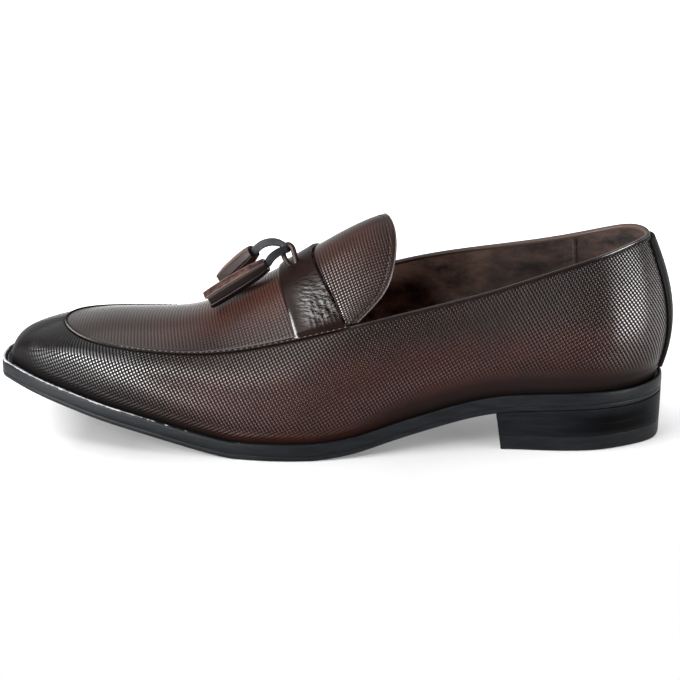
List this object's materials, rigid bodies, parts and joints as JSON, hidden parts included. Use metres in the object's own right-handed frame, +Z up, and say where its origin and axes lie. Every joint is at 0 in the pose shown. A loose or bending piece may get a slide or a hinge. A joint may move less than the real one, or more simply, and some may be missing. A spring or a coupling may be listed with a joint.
{
  "type": "tassel loafer",
  "caption": "Left men's tassel loafer: hollow grained leather upper with apron, saddle strap, tongue and tassels on a welted rubber sole with a heel.",
  "frame": {"origin": "on the ground under the middle of the shoe's length and width", "axes": "+X from toe to heel, +Y from the outer to the inner side of the foot, +Z up"},
  "size_m": [0.3134, 0.1006, 0.1016],
  "materials": {
    "grained_leather": "embossed, burnished",
    "smooth_leather": "smooth, polished",
    "black_leather": "satin",
    "tassel_leather": "satin",
    "thong_leather": "matte",
    "insole_leather": "satin",
    "sole_rubber": "satin"
  },
  "bodies": {
    "root": {"upper": "grained_leather", "tongue": "grained_leather", "strap": "smooth_leather", "backstay": "black_leather", "insole": "insole_leather", "welt": "sole_rubber", "outsole": "sole_rubber", "heel_block": "sole_rubber", "heel_top_lift": "sole_rubber", "tassel_lateral": "tassel_leather", "tassel_medial": "tassel_leather", "tassel_cord": "thong_leather", "tassel_keeper": "tassel_leather"}
  },
  "joints": []
}
